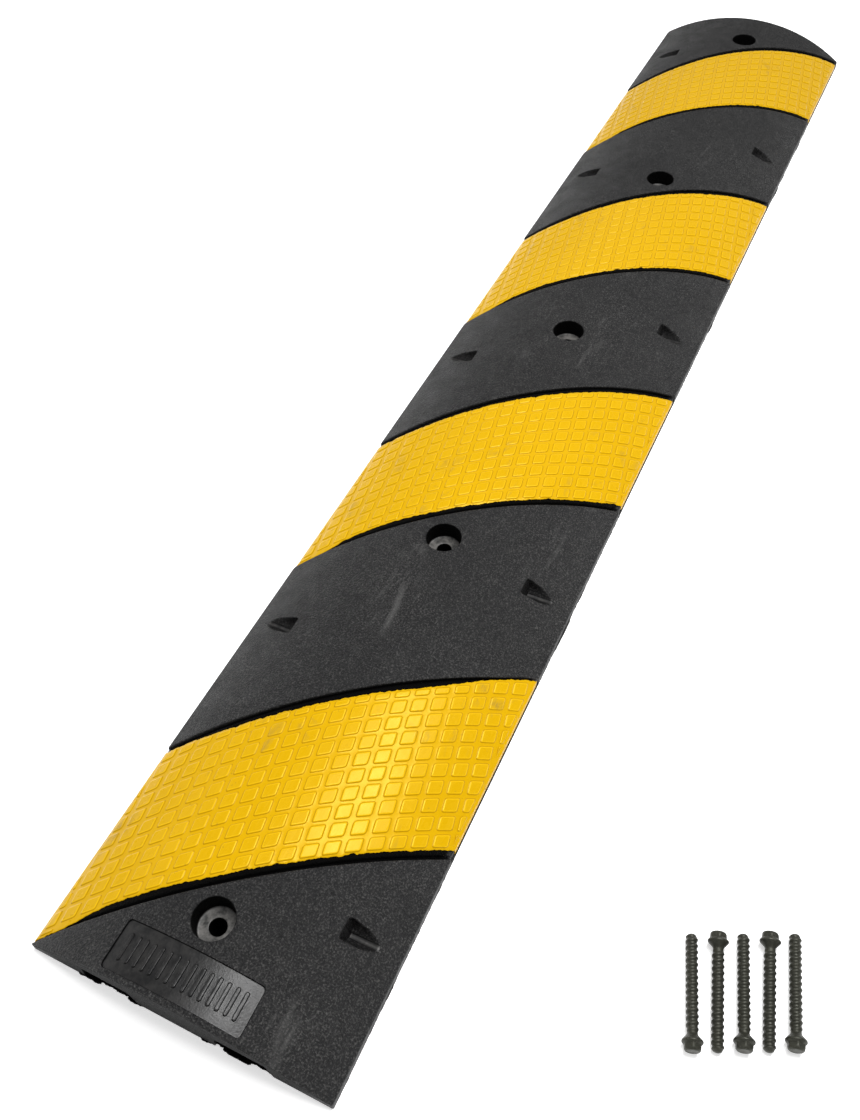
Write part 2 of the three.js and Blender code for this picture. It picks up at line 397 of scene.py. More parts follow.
def plate_depth(x, y):
    """Depth of the plate recess and of the plain ribs that stand in it."""
    out = np.stack([np.abs(x - PLATE_X), np.abs(y)], 1) - (np.array(PLATE_HALF) - PLATE_CORNER)
    gap = np.hypot(*np.maximum(out, 0).T) + np.minimum(out.max(1), 0) - PLATE_CORNER
    depth = np.interp(gap, [-0.4, -0.15, 0.05, 0.35], [PLATE_DEPTH, 1.4, 0.25, 0])
    for rib in RIBS:
        depth = depth - np.interp(rib_gap(rib, x, y), [-0.75, -0.3, 0.15], [RIB_HEIGHT, 0.8, 0])
    return depth


RIBS = [(step - (RIB_COUNT - 1) / 2) * RIB_PITCH for step in range(RIB_COUNT)]


def rib_gap(rib_y, x, y):
    """Distance outside a rib's rounded outline."""
    along = np.maximum(np.abs(x - PLATE_X) - RIB_HALF_LENGTH, 0)
    return np.hypot(y - rib_y, along) - RIB_HALF_WIDTH


def flash_lip(x):
    """How far the thin flash along the -Y foot creeps out."""
    ragged = 0.1 + 3 * np.maximum(wavy(x / 31, 91) - 0.15, 0) + 0.7 * wavy(x / 2.6, 92)
    yellow = [np.abs(x - stripe.edge(0, -HALF_WIDTH)) - stripe.half for stripe in STRIPES]
    clear = np.clip(np.min(yellow, axis=0) / 6, 0, 1)
    ends = np.clip((HALF_LENGTH - 8 - np.abs(x)) / 10, 0, 1)
    return np.clip(ragged, 0.05, FLASH_WIDEST) * clear * ends


def body_place(points, drifts):
    """Where each (x, q) point of the body's outside really lies."""
    x, q = points.T
    y_plan = section(q)[0]
    depth = border_depth(x, y_plan, drifts)
    for anchor in ANCHOR_XS:
        radius = np.hypot(x - anchor, y_plan)
        depth = depth + np.interp(radius, *zip(*COUNTERBORE_RIM[::-1]))
    near = np.abs(x - PLATE_X) < PLATE_HALF.x + 2
    depth[near] += plate_depth(x[near], y_plan[near])
    above_foot = (FOOT_Q - np.abs(q) - 1.45) / 0.25
    depth = depth * np.clip(above_foot, 0, 1)
    places = wrapped(points, depth)
    for middle, side in POCKETS:
        inside = (np.abs(x - middle) < 15) & (side * y_plan > 94) & (side * y_plan < 140)
        height = pocket_height(x[inside] - middle, side * y_plan[inside])
        places[inside, 2] = smooth_min(places[inside, 2], height, 0.7)
    lip = np.clip((FLASH_HEIGHT - (FOOT_Q + q)) / 0.2, 0, 1) * (q < 0)
    places[:, 1] -= lip * flash_lip(x)
    return places


def stadium(rib_y, gap, count=16):
    """A rib's outline, grown by gap."""
    ring = circle(RIB_HALF_WIDTH + gap, count, math.pi / count)
    ring[:, 0] += np.sign(ring[:, 0]) * RIB_HALF_LENGTH
    return ring + (PLATE_X, rib_y)


def rounded_plate(gap):
    """The plate's outline, grown by gap, with no side longer than a few millimetres."""
    ring = circle(PLATE_CORNER + gap, 24, math.pi / 24)
    ring = ring + np.sign(ring) * (np.array(PLATE_HALF) - PLATE_CORNER) + (PLATE_X, 0)
    fine = []
    for start, end in zip(ring, np.roll(ring, -1, 0)):
        steps = max(1, int(np.hypot(*(end - start)) / 4))
        fine.extend(start + (end - start) * step / steps for step in range(steps))
    return np.array(fine)


def to_q(ring):
    return [(x, crown_q(y)) for x, y in ring]


def add_borders(sheet, drifts):
    """Lines along every fold beside the skins."""
    ys = np.linspace(-CORNER_Y + 1, CORNER_Y - 1, 120)
    qs = np.array([crown_q(y) for y in ys])
    wall = np.array([CROWN_Q, CORNER_Q, WALL_Q, wall_q(5), FOOT_Q])
    qs = np.concatenate([-wall[::-1], qs, wall])
    ys = section(qs)[0]
    for (stripe, side), table in zip(EDGES, drifts):
        edge = stripe.edge(side, ys)
        drift = np.interp(ys, *table)
        for outwards, _ in BORDER[1:]:
            sheet.add(np.stack([edge + side * outwards, qs], 1))
        for outwards, _ in LEDGE[:3]:
            sheet.add(np.stack([edge + side * (drift + outwards), qs], 1))


def pocket_lines():
    """The grid that a trough is drawn on: x from its middle, and y from the centre line."""
    half = [1.5, 3.2, 4.8, 6.4, 7.7, 8.8, 9.6, 10.1, 10.4, 10.65, 10.9, 11.3, 12, 13.4]
    xs = [-x for x in half[::-1]] + [0] + half
    back = [-3, -1.6, -0.8, -0.3, 0, 0.4, 1, 1.8, 2.6, 3.4, 4.2, 5, 6]
    return np.array(xs), POCKET_BACK + np.concatenate([back, np.arange(7.3, 39, 1.25)])


def add_pockets(sheet):
    xs, ys = pocket_lines()
    for middle, side in POCKETS:
        qs = side * np.array([crown_q(y) for y in ys])
        for x in xs:
            sheet.add([(middle + x, q) for q in qs])
        for q in qs:
            sheet.add([(middle + x, q) for x in xs])


def add_plate(sheet):
    """Lines round the plate recess and its ribs, and along its floor."""
    for gap in PLATE_FOLDS:
        sheet.add(to_q(rounded_plate(gap)), closed=True)
    for rib in RIBS:
        for gap in RIB_FOLDS:
            sheet.add(to_q(stadium(rib, gap)), closed=True)
    for x in np.linspace(-PLATE_HALF.x + 2, PLATE_HALF.x - 2, 9):
        sheet.add([(PLATE_X + x, q) for q in np.linspace(-67, 67, 36)])


def add_long_rows(sheet, x_lo, x_hi):
    """Lines along the upright edges, closer together on the -Y side, where the flash is."""
    rows = [CROWN_Q, CORNER_Q, WALL_Q]
    rows += [wall_q(FLASH_HEIGHT + rise) for rise in (0.4, 0.15, -0.2)] + [FOOT_Q]
    xs = np.linspace(x_lo, x_hi, 760)
    for q in rows:
        sheet.add([(x, -q) for x in xs])
        sheet.add([(x, q) for x in xs[::6]])


def in_feature(x, q):
    """True where the plain grid must not put a point."""
    y = section(np.array([q]))[0][0]
    for stripe, side in EDGES:
        outwards = side * (x - stripe.edge(side, y))
        if BORDER_SPAN[0] < outwards < BORDER_SPAN[1]:
            return True
    if any(math.hypot(x - anchor, y) < COUNTERBORE_CLEAR for anchor in ANCHOR_XS):
        return True
    for middle, side in POCKETS:
        if abs(x - middle) < POCKET_CLEAR and POCKET_SPAN[0] < side * y < POCKET_SPAN[1]:
            return True
    return abs(x - PLATE_X) < PLATE_HALF.x + PLATE_CLEAR and abs(y) < PLATE_HALF.y + PLATE_CLEAR


def body_outside(shell):
    """The whole outside, from foot to foot and end to end. Returns its rim, by side."""
    ys = np.linspace(-HALF_WIDTH - 1, HALF_WIDTH + 1, 240)
    drifts = [(ys, stripe.drift(side, ys)) for stripe, side in EDGES]
    sheet = Sheet()
    x_lo = NEAR_X + END_RADIUS - END_ARC
    x_hi = FAR_X - END_RADIUS + END_ARC
    sheet.add([(x_lo, -FOOT_Q), (x_hi, -FOOT_Q), (x_hi, FOOT_Q), (x_lo, FOOT_Q)], outline=True)
    for anchor in ANCHOR_XS:
        ring = circle(COUNTERBORE_RIM[-1][0], RING_POINTS)
        sheet.add(to_q(ring + (anchor, 0)), outline=True)
        for radius, _ in COUNTERBORE_RIM[:-1]:
            sheet.add(to_q(circle(radius, RING_POINTS) + (anchor, 0)), closed=True)
    add_borders(sheet, drifts)
    add_pockets(sheet)
    add_plate(sheet)
    for turn in (0, 0.25, 0.5, 0.75, 1):
        for x in (x_lo + turn * END_ARC, x_hi - turn * END_ARC):
            sheet.add([(x, q) for q in np.linspace(-FOOT_Q, FOOT_Q, 90)])
    add_long_rows(sheet, x_lo, x_hi)
    grid = [(x, q) for x in np.arange(-908, 910, GRID_X) for q in np.arange(-158, 159, GRID_Q)]
    sheet.scatter([(x, q) for x, q in grid if not in_feature(x, q)])
    points, faces = sheet.triangulate()
    places = body_place(points, drifts)
    shell.patch(places, faces)
    used = np.zeros(len(points), bool)
    used[[i for face in faces for i in face]] = True
    sides = {"near": (0, x_lo), "far": (0, x_hi), "right": (1, -FOOT_Q), "left": (1, FOOT_Q)}
    return {name: rim(points, places, used, *side) for name, side in sides.items()}


def rim(points, places, used, axis, value):
    """The used places whose points lie at value on one axis, in order along the other."""
    chosen = used & (np.abs(points[:, axis] - value) < 1e-2)
    return places[chosen][np.argsort(points[chosen][:, 1 - axis])]


# ---- the body's holes, ends and underside ----


def anchor_hole(shell, x):
    """The counterbore's wall and floor, and the hole through it."""
    ring = circle(COUNTERBORE_RIM[-1][0], RING_POINTS) + (x, 0)
    rings = [wrapped(to_q(ring), COUNTERBORE_RIM[-1][1])]
    floor = COUNTERBORE_FLOOR
    wall = [(19.05, floor + 9), (18.8, floor + 2.4), (18.5, floor + 1.2), (17.9, floor + 0.4)]
    bed = [(17, floor), (13, floor - 0.25), (9.3, floor), (8.4, floor - 0.35), (7.9, floor - 1.2)]
    hole = [(ANCHOR_HOLE_RADIUS, floor - 2.4), (ANCHOR_HOLE_RADIUS, 0)]
    for radius, z in wall + bed + hole:
        flat = circle(radius, RING_POINTS) + (x, 0)
        rings.append(np.column_stack([flat, np.full(RING_POINTS, z)]))
    shell.loft(rings)


def channel_mouth(offset):
    """The outline of a cable channel across the bump, from foot to foot."""
    lean = math.atan2(CHANNEL_BASE - CHANNEL_TOP, CHANNEL_HEIGHT)
    corner_y = CHANNEL_TOP - CHANNEL_CORNER
    corner_z = CHANNEL_HEIGHT - CHANNEL_CORNER
    turns = np.linspace(lean * 0.5, math.pi / 2, 7)
    half = [(CHANNEL_BASE, 0)]
    for turn in turns:
        y = corner_y + CHANNEL_CORNER * math.cos(turn)
        half.append((y, corner_z + CHANNEL_CORNER * math.sin(turn)))
    mouth = half + [(-y, z) for y, z in half[::-1]]
    return np.array(mouth) + (offset, 0)


def end_face(shell, column, x):
    """An end: everything inside the column of places that the outside ends in."""
    sheet = Sheet()
    outline = [(p[1], p[2]) for p in column] + [(y, 0) for y in CHANNEL_FEET[::-1]]
    sheet.add(outline[::-1], outline=True)
    for offset in CHANNELS:
        sheet.add(channel_mouth(offset), outline=True)
    for y in np.arange(-140, 141, 10):
        sheet.scatter([(y, z) for z in (32, 40, 48) if z < 50 - abs(y) / 6])
    points, faces = sheet.triangulate()
    shell.patch(np.column_stack([np.full(len(points), x), points]), faces)


def channel(shell, offset):
    """The roof and sides of a cable channel, from end to end."""
    mouth = channel_mouth(offset)
    rings = [np.column_stack([np.full(len(mouth), x), mouth]) for x in LONG_STATIONS]
    shell.loft(rings, closed=False)


def underside(shell, rims):
    """The foot: three flats between the channels, with the anchor holes through the middle."""
    right, left = rims["right"], rims["left"]
    sheet = Sheet()
    outline = [(p[0], p[1]) for p in right] + [(FAR_X, y) for y in CHANNEL_FEET]
    outline += [(p[0], p[1]) for p in left[::-1]] + [(NEAR_X, y) for y in CHANNEL_FEET[::-1]]
    sheet.add(outline, outline=True)
    for lo, hi in (CHANNEL_FEET[:2], CHANNEL_FEET[2:]):
        mouth = [(x, lo) for x in LONG_STATIONS] + [(x, hi) for x in LONG_STATIONS[::-1]]
        sheet.add(mouth, outline=True)
    for anchor in ANCHOR_XS:
        sheet.add(circle(ANCHOR_HOLE_RADIUS, RING_POINTS) + (anchor, 0), outline=True)
    points, faces = sheet.triangulate()
    shell.patch(np.column_stack([points, np.zeros(len(points))]), faces)


# Where torn flash hangs at the -X end: from y, to y, and how far out and in it reaches. The last two,
# across the channel mouths, are dark films that stand in for the shade inside the channels: painted
# shade.
END_FLASH_AND_SHADE_FILMS = [
    (103, 79, 1.1, 2), (50, 34, 1.1, 2), (-25, -35.5, 1.1, 2), (-47, -74, 1.1, 2),
    (98, 37, -1.3, 6), (-37, -98, -1.3, 6),
]


def flash_and_shade_films(shell):
    """Thin torn films on the ground at the -X end, and dark films across the feet of the channels
    that stand in for the shade inside them (painted shade).
    """
    # The films across the channel mouths are painted shade.
    for number, (start, end, out, back) in enumerate(END_FLASH_AND_SHADE_FILMS):
        ys = np.linspace(end, start, 1 + int(abs(start - end) / 0.7))
        ends = np.clip(np.minimum(ys - end, start - ys) / 2.5, 0.15, 1)
        torn = 1.1 * wavy(ys / 3.4, 61 + number) + 0.5 * wavy(ys / 1.1, 71 + number)
        outer = NEAR_X - np.clip((out + torn) * ends, -back + 0.5, END_INSET)
        inner = NEAR_X + back
        top = 2.2 if out > 0 else 0.9
        torn_top = top + 0.9 * torn * (out > 0)
        profile = [(outer, 0.05), (outer + 0.15, torn_top), (inner, top), (inner, 0.05)]
        rings = [np.column_stack(np.broadcast_arrays(x, ys, z)) for x, z in profile]
        shell.loft([*rings, rings[0]], closed=False)
        for k in (0, -1):
            shell.patch([ring[k] for ring in rings], [[0, 1, 2, 3]])


def rubber_body(material):
    shell = Shell()
    flash_and_shade_films(shell)
    rims = body_outside(shell)
    for x in ANCHOR_XS:
        anchor_hole(shell, x)
    end_face(shell, rims["near"], NEAR_X)
    end_face(shell, rims["far"], FAR_X)
    for offset in CHANNELS:
        channel(shell, offset)
    underside(shell, rims)
    return shell.build("rubber_body_moulding", material)


# ---- yellow skins ----


def inset_polygon(corners, distance):
    """A convex outline, counterclockwise, with its sides moved inwards."""
    count = len(corners)
    moved = []
    for i in range(count):
        before = (corners[i] - corners[i - 1]).normalized()
        after = (corners[(i + 1) % count] - corners[i]).normalized()
        inward_before = Vector((-before.y, before.x))
        inward_after = Vector((-after.y, after.x))
        share = 1 + inward_before.dot(inward_after)
        moved.append(corners[i] + (inward_before + inward_after) * (distance / share))
    return moved


def clipped_polygon(corners, point, inward):
    """The part of a convex outline on the inward side of a line."""
    kept = []
    for i, here in enumerate(corners):
        before = corners[i - 1]
        depth_here = (here - point).dot(inward)
        depth_before = (before - point).dot(inward)
        if (depth_here < 0) != (depth_before < 0):
            share = depth_before / (depth_before - depth_here)
            kept.append(before + (here - before) * share)
        if depth_here >= 0:
            kept.append(here)
    return kept


def rounded_polygon(corners, radius, arc=4):
    """A convex outline with round corners, the same number of points for every radius."""
    count = len(corners)
    points = []
    for i, corner in enumerate(corners):
        before = corners[i - 1] - corner
        after = corners[(i + 1) % count] - corner
        reach = min(radius, before.length * 0.45, after.length * 0.45)
        start = corner + before.normalized() * reach
        end = corner + after.normalized() * reach
        for step in range(arc + 1):
            share = step / arc
            pull = start * (1 - share) ** 2 + corner * (2 * share * (1 - share)) + end * share**2
            points.append(pull)
    return points


def cut_stud(stripe, centre):
    """A stud's outline in plan, cut off where it would pass the skin's edges."""
    half_row = STUD_ROW * STUD_ROW_SHARE / 2
    half_column = STUD_COLUMN * STUD_COLUMN_SHARE / 2
    corners = [centre - half_row - half_column, centre + half_row - half_column]
    corners += [centre + half_row + half_column, centre - half_row + half_column]
    for side in (-1, 1):
        reach = float(np.min(stripe.drift(side, np.linspace(centre.y - 8, centre.y + 8, 5))))
        x = stripe.edge(side, centre.y) + side * (reach - STUD_MARGIN)
        inward = Vector((-side, side * stripe.slope)).normalized()
        corners = clipped_polygon(corners, Vector((x, centre.y)), inward)
        corners = clipped_polygon(corners, Vector((0, side * STUD_EDGE)), Vector((0, -side)))
    merge_short_sides(corners)
    return corners


def stud_outlines(stripe):
    """A stripe's studs: outlines in plan, and the share of a full slope that fits each."""
    middle = Vector((stripe.x, 0)) + STUD_START
    outlines = []
    for i in range(-STUD_STEPS, STUD_STEPS + 1):
        for j in range(-STUD_STEPS, STUD_STEPS + 1):
            centre = middle + i * STUD_ROW + j * STUD_COLUMN
            off_middle = abs(centre.x - stripe.edge(0, centre.y))
            if abs(centre.y) > HALF_WIDTH + 8 or off_middle > stripe.half + 12:
                continue
            corners = cut_stud(stripe, centre)
            slope_share = room_for_slopes(corners)
            if slope_share:
                outlines.append((corners, slope_share))
    return outlines


def merge_short_sides(corners):
    """Takes out the corners that lie within a couple of millimetres of the one before."""
    for i in range(len(corners) - 1, -1, -1):
        if len(corners) > 3 and (corners[i] - corners[i - 1]).length < 1.6:
            del corners[i]


def room_for_slopes(corners):
    """The share of its full width that a stud's sloping side can have, or 0 for no stud."""
    area = sum(corners[i - 1].cross(corners[i]) for i in range(len(corners))) / 2
    if len(corners) < 3 or area < SMALLEST_STUD:
        return 0
    sides = range(len(corners))
    for share in (1, 0.6, 0.35):
        top = inset_polygon(corners, STUD_RINGS[-1][0] * share * 1.1)
        if all((corners[i] - corners[i - 1]).dot(top[i] - top[i - 1]) > 0 for i in sides):
            return share
    return 0


def skin_rim(stripe):
    """The skin's ragged outline as (x, q), and the same one lip's width further in."""
    foot = wall_q(SKIN_FOOT)
    qs = np.linspace(-foot, foot, 430)
    ys = section(qs)[0]
    # Down the upright edges y stands still, so the raggedness follows q there.
    along = np.where(np.abs(qs) > CROWN_Q, qs, ys)
    rows = {}
    for side in (-1, 1):
        edge = stripe.edge(side, ys)
        ragged = stripe.ragged(side, along)
        inner = np.minimum(ragged, stripe.drift(side, along) + 0.4) - SKIN_LIP_WIDTH
        rows[side] = (edge + side * ragged, edge + side * inner)
    inner_qs = qs * (foot - 0.6) / foot
    outer = list(zip(rows[-1][0][::-1], qs[::-1])) + list(zip(rows[1][0], qs))
    inside = list(zip(rows[-1][1][::-1], inner_qs[::-1])) + list(zip(rows[1][1], inner_qs))
    return outer, inside


def yellow_skin(stripe, material):
    outer, inside = skin_rim(stripe)
    sheet = Sheet()
    sheet.add(outer, outline=True)
    sheet.add(inside, closed=True)
    studs = stud_outlines(stripe)
    for corners, _ in studs:
        sheet.add(to_q(rounded_polygon(corners, STUD_CORNER)), outline=True)
    for q in (CROWN_Q - 5, CROWN_Q, CORNER_Q, WALL_Q, WALL_Q + 3):
        for side in (-1, 1):
            y = section(np.array([side * q]))[0][0]
            lo = stripe.edge(-1, y) + 3
            hi = stripe.edge(1, y) - 3
            sheet.scatter([(x, side * q) for x in np.linspace(lo, hi, 24)])
    points, faces = sheet.triangulate()
    rim_spots = {(round(x, 4), round(q, 4)) for x, q in outer}
    on_rim = np.array([(round(x, 4), round(q, 4)) in rim_spots for x, q in points])
    shell = Shell()
    shell.patch(wrapped(points, np.where(on_rim, SKIN_LIP, SKIN_TOP)), faces)
    for corners, slope_share in studs:
        add_stud(shell, corners, slope_share)
    shell.loft([wrapped(outer, SKIN_LIP), wrapped(outer, SKIN_INNER)])
    add_skin_inside(shell, stripe, outer)
    return shell.build(f"yellow_skin_{stripe.index + 1}", material, sharp=50)


def add_stud(shell, corners, slope_share):
    rings = []
    for full_inset, depth in STUD_RINGS:
        inset = full_inset * slope_share
        outline = rounded_polygon(inset_polygon(corners, inset), max(STUD_CORNER - inset, 0.8))
        rings.append(wrapped(to_q(outline), depth))
    shell.loft(rings)
    shell.patch(rings[-1], [list(range(len(rings[-1])))])


def add_skin_inside(shell, stripe, outer):
    """The smooth side of a skin, which lies in its seat."""
    sheet = Sheet()
    sheet.add(outer, outline=True)
    turned_down = [side * q for q in (CROWN_Q, CORNER_Q, WALL_Q) for side in (-1, 1)]
    for q in list(np.arange(-150, 151, 10)) + turned_down:
        y = section(np.array([float(q)]))[0][0]
        lo = stripe.edge(-1, y) + 9
        sheet.scatter([(x, q) for x in np.linspace(lo, lo + 2 * stripe.half - 18, 8)])
    points, faces = sheet.triangulate()
    shell.patch(wrapped(points, SKIN_INNER), faces)


def mark_raised(piece):
    """Stores how far each place of a skin stands above its ground, 0 to 1, for its wear, the painted
    shade at the studs' feet and the painted highlight along their edges.
    """
    _, y, z = mesh_places(piece)
    depth = CROWN_RADIUS - np.hypot(y, z - CROWN_Z)
    raised = np.clip(1 - depth / SKIN_TOP, 0, 1) * (np.abs(y) < CORNER_Y - 2)
    store(piece, "raised", raised)


def mark_body(piece):
    """Stores, 0 to 1, the painted shade in the grooves and on steep walls, and where the body is
    painted paler: the counterbore floors, a little on the plate, and a painted highlight down each
    pocket's trough.
    """
    x, y, z = mesh_places(piece)
    reach = np.hypot(y, z - CROWN_Z)
    _, normal_y, normal_z = mesh_normals(piece)
    facing = (normal_y * y + normal_z * (z - CROWN_Z)) / reach
    steep = np.clip((0.8 - facing) / 0.3, 0, 1)
    depth = CROWN_RADIUS - reach
    grooved = np.clip((depth - 0.5) / 0.6, 0, 1)
    on_plate = (np.abs(x - PLATE_X) < PLATE_HALF.x + 1) & (np.abs(y) < PLATE_HALF.y + 1)
    in_hole = np.min([np.hypot(x - anchor, y) for anchor in ANCHOR_XS], axis=0) < 20.5
    in_pocket = np.zeros(len(x), bool)
    trough = np.zeros(len(x))
    for middle, side in POCKETS:
        there = (np.abs(x - middle) < 13) & (np.abs(side * y - POCKET_BACK - 18) < 24) & (depth > 0.2)
        in_pocket |= there
        towards_tip = np.interp(side * y, [POCKET_BACK + 5, POCKET_BACK + 32], [0.35, 1])
        # Painted highlight: a pale streak down the bottom of each pocket's trough.
        trough += there * towards_tip * np.exp(-(((x - middle) / 1.7) ** 2))
    # Painted shade: the grooves and the steep walls of the plate, holes and pockets are marked to be
    # painted near black.
    steep = np.where(in_pocket, np.clip((0.98 - facing) / 0.22, 0, 0.52), steep)
    painted_shade = np.where(on_plate | in_hole | in_pocket, steep, grooved)
    store(piece, "painted_shade", np.where(np.abs(y) > CORNER_Y - 2, 0, painted_shade))
    floor = in_hole & (np.abs(z - COUNTERBORE_FLOOR) < 0.5)
    plate = on_plate & (depth > PLATE_DEPTH - RIB_HEIGHT - 0.2)
    # Painted paler: the counterbore floors fully, the plate a little, and the trough streaks as a
    # painted highlight.
    lightened = np.select([floor, plate], [1, 0.12], 1.3 * trough)
    store(piece, "lightened", np.minimum(lightened, 1) * (1 - steep))


def mesh_normals(piece):
    """A piece's vertex normals as x, y and z."""
    found = np.zeros(len(piece.data.vertices) * 3)
    piece.data.vertex_normals.foreach_get("vector", found)
    return found.reshape(-1, 3).T


def mesh_places(piece):
    """A piece's vertices as x, y and z in millimetres, y from the centre line."""
    co = np.zeros(len(piece.data.vertices) * 3)
    piece.data.vertices.foreach_get("co", co)
    return (co.reshape(-1, 3) / MM - (0, AXIS_Y, 0)).T


def store(piece, name, values):
    """Keeps a value for each vertex, which the materials read by name."""
    layer = piece.data.attributes.new(name, "FLOAT", "POINT")
    layer.data.foreach_set("value", values.astype(np.float32))


# ---- screws ----

SCREW_LENGTH = 98.5
THREAD_RADIUS = 5.4
THREAD_PITCH = 5.4
THREAD_ROOT = 4.5  # the shank is this thick between the threads
THREAD_FADE = [(0.8, 0), (3.2, 1), (79.5, 1), (83.5, 0)]  # (from the tip, share of the full height)
THREAD_CREST = 0.12  # half the flat on a thread's crest, and where its flank ends, in pitches
THREAD_FLANK = 0.36
# Radius of everything but the thread and the hexagon, by distance from the tip.
SHANK = [
    (0, 0), (0.15, 1.5), (0.6, 2.8), (1.3, 3.6), (2.3, 4.2), (3.4, 4.5), (81, 4.5), (84, 4.4),
    (85.6, 5.0), (89.4, 8.6), (90.1, 9.0), (91, 9.0), (91.5, 8.8), (93.3, 6.9), (93.4, 0),
]
HEX_START = 92.5
HEX_HALF = 6.75
HEX_DOME = [(94, 7.6), (96, 7.3), (97.4, 6.7), (98.2, 5.9), (98.5, 5.1)]  # rounds the head
SCREW_SIDES = 60
# Where the rings of the mesh stand, from the tip: close together at each bend.
SCREW_STATIONS = [
    0.02, 0.15, 0.6, 1.3, *np.arange(2, 84, 0.42), 84.6, 85.6, 87.5, 89.4, 89.8, 90.2, 90.9, 91.3,
    92.4, 92.6, 93.3, 93.5, 94.5, 95.8, 96.6, 97.3, 97.8, 98.1, 98.3, 98.5,
]


def screw_axes(node):
    """Tip, direction, and a crosswise direction to a hexagon corner of a CAD screw, mm."""
    co = np.array([v.co for v in frame["nodes"][node].data.vertices]) / MM
    middle = co.mean(0)
    along = np.linalg.svd(co - middle, full_matrices=False)[2][0]
    reach = (co - middle) @ along
    if np.abs(reach.max()) < np.abs(reach.min()):
        along, reach = -along, -reach
    ends = [co[reach < reach.min() + 0.05].mean(0), co[reach > reach.max() - 0.05].mean(0)]
    picks = (reach < reach.min() + 0.5, reach > reach.max() - 0.5)
    spread = [np.ptp(co[pick], axis=0).max() for pick in picks]
    tip, head = ends if spread[0] < spread[1] else ends[::-1]
    along = (head - tip) / np.linalg.norm(head - tip)
    top = co[(co - tip) @ along > SCREW_LENGTH - 0.3]
    corner = max(top, key=lambda place: np.linalg.norm(place - head))
    across = corner - head - along * np.dot(corner - head, along)
    return tip, along, across / np.linalg.norm(across)


def screw_radius(s, turn):
    """Radius at distance s from the tip, at angles turn from a hexagon corner."""
    shank = float(np.interp(s, *zip(*SHANK)))
    fade = float(np.interp(s, *zip(*THREAD_FADE)))
    phase = np.abs((s / THREAD_PITCH - turn / (2 * math.pi)) % 1 - 0.5)
    crest = np.clip((THREAD_FLANK - phase) / (THREAD_FLANK - THREAD_CREST), 0, 1)
    radius = shank + (THREAD_RADIUS - THREAD_ROOT) * crest * fade
    if s > HEX_START:
        from_flat = (turn % (math.pi / 3)) - math.pi / 6
        hexagon = HEX_HALF / np.cos(from_flat)
        dome = float(np.interp(s, *zip(*HEX_DOME)))
        radius = np.maximum(radius, np.minimum(hexagon, dome))
    return radius


def anchor_screw(index, material):
    tip, along, across = screw_axes(f"anchor_screw_{index}")
    third = np.cross(along, across)
    turn = np.arange(SCREW_SIDES) * 2 * math.pi / SCREW_SIDES
    shell = Shell()
    rings = []
    for s in SCREW_STATIONS:
        radius = screw_radius(s, turn)
        ring = np.outer(radius * np.cos(turn), across) + np.outer(radius * np.sin(turn), third)
        rings.append(ring + tip + along * s - (0, AXIS_Y, 0))
    shell.loft(rings)
    cap = list(range(SCREW_SIDES))
    shell.patch(rings[0], [cap])
    centre = tip + along * (SCREW_LENGTH - 0.15) - (0, AXIS_Y, 0)
    top = [[i, (i + 1) % SCREW_SIDES, SCREW_SIDES] for i in cap]
    shell.patch(np.vstack([rings[-1], centre]), top)
    return shell.build(f"concrete_screw_{index}", material, sharp=28)


# ---- materials ----


class Paint:
    """A node material: a Principled shader with helpers for the textures that feed it."""

    def __init__(self, name):
        self.material = bpy.data.materials.new(name)
        self.material.use_nodes = True
        self.tree = self.material.node_tree
        self.shader = self.tree.nodes["Principled BSDF"]
        self.place = self.tree.nodes.new("ShaderNodeTexCoord").outputs["Object"]

    def feed(self, socket, value):
        """Links an output to a socket, or sets the socket to a plain value."""
        if isinstance(value, bpy.types.NodeSocket):
            self.tree.links.new(value, socket)
        else:
            socket.default_value = value

    def node(self, kind, output, inputs, **settings):
        """An output of a new node of a kind, such as TexNoise, with its inputs fed."""
        made = self.tree.nodes.new("ShaderNode" + kind)
        for key, value in settings.items():
            setattr(made, key, value)
        for key, value in inputs.items():
            self.feed(made.inputs[key], value)
        return made.outputs[output]

    def stretched(self, scale, turn=0):
        """The object's own coordinates, turned about Z in degrees and scaled along each axis."""
        inputs = {"Vector": self.place, "Scale": scale, "Rotation": (0, 0, math.radians(turn))}
        return self.node("Mapping", "Vector", inputs)

    def noise(self, scale, detail=2, rough=0.5, place=None, distortion=0):
        inputs = {"Vector": place or self.place, "Scale": scale, "Detail": detail}
        inputs |= {"Roughness": rough, "Distortion": distortion}
        return self.node("TexNoise", "Fac", inputs)

    def cells(self, scale):
        return self.node("TexVoronoi", "Distance", {"Vector": self.place, "Scale": scale})

    def ranged(self, value, from_lo, from_hi, to_lo=0, to_hi=1):
        """A value carried from one range to another, and held at its ends."""
        inputs = {"Value": value, "From Min": from_lo, "From Max": from_hi}
        inputs |= {"To Min": to_lo, "To Max": to_hi}
        return self.node("MapRange", "Result", inputs)

    def math(self, operation, a, b=0.0):
        return self.node("Math", 0, {0: a, 1: b}, operation=operation)

    def times(self, a, b):
        return self.math("MULTIPLY", a, b)

    def mixed(self, share, a, b):
        """A colour that is a where share is 0 and b where it is 1."""
        return self.node("Mix", "Result", {"Factor": share, "A": a, "B": b}, data_type="RGBA")

    def along(self, axis):
        return self.node("SeparateXYZ", axis, {0: self.place})

    def attribute(self, name):
        return self.node("Attribute", "Fac", {}, attribute_name=name)

    def bump(self, layers):
        """Stacks (height, distance in mm, strength) layers of relief."""
        normal = None
        for height, distance, strength in layers:
            inputs = {"Height": height, "Distance": distance * MM, "Strength": strength}
            if normal:
                inputs["Normal"] = normal
            normal = self.node("Bump", "Normal", inputs)
        self.feed(self.shader.inputs["Normal"], normal)

    def surface(self, colour, roughness, **constants):
        self.feed(self.shader.inputs["Base Color"], colour)
        self.feed(self.shader.inputs["Roughness"], roughness)
        for key, value in constants.items():
            self.shader.inputs[key.replace("_", " ")].default_value = value
        return self.material


